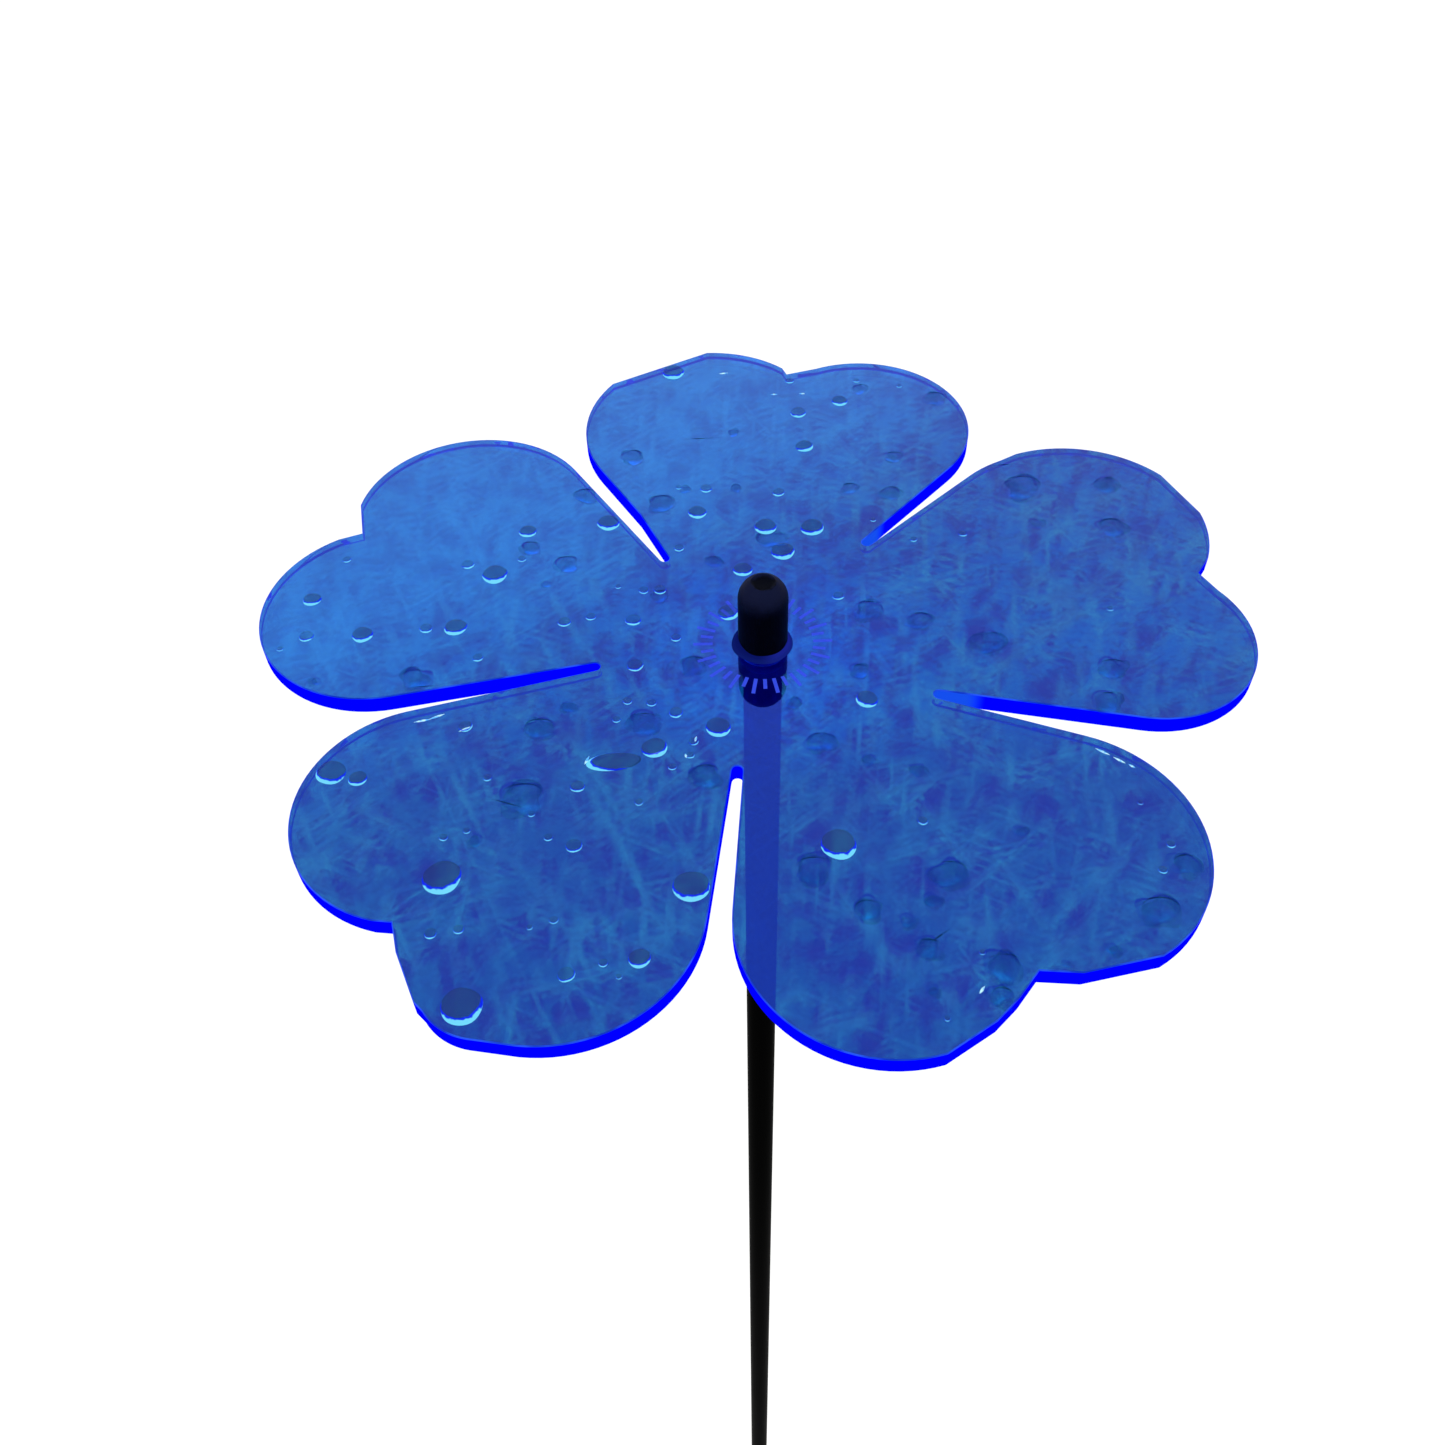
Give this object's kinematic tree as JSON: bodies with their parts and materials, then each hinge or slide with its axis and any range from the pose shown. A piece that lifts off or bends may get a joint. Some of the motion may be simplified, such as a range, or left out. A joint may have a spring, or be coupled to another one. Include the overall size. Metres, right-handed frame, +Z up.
{
  "type": "flower sun catcher stake",
  "caption": "Blue acrylic flower threaded on an upright black rod, carried by a rubber ring and kept on by a domed rubber cap; the rod is pushed into soil.",
  "frame": {"origin": "centre of the rod's flat lower end", "axes": "+Z up along the rod, -Y towards the side the flower is normally seen from, +X to the right from there"},
  "size_m": [0.1503, 0.1438, 0.753],
  "materials": {
    "rod": "smooth black fibreglass, satin gloss",
    "acrylic": "see-through fluorescent blue cast acrylic, polished faces, glowing cut edges",
    "cap_rubber": "satin black rubber",
    "ring_rubber": "matt black rubber"
  },
  "bodies": {
    "stake": {"rod": "rod"},
    "ring": {"stop_ring": "ring_rubber"},
    "disc": {"flower": "acrylic"},
    "cap": {"end_cap": "cap_rubber"}
  },
  "joints": [
    {"name": "ring_slide", "type": "slide", "parent": "stake", "child": "ring", "axis": [0, 0, 1], "range_m": [-0.6, 0]},
    {"name": "flower_spin", "type": "hinge", "parent": "ring", "child": "disc", "pos_m": [0, 0, 0.7392], "axis": [0, 0, 1], "continuous": true},
    {"name": "cap_pull", "type": "slide", "parent": "stake", "child": "cap", "axis": [0, 0, 1], "range_m": [0, 0.015]}
  ]
}
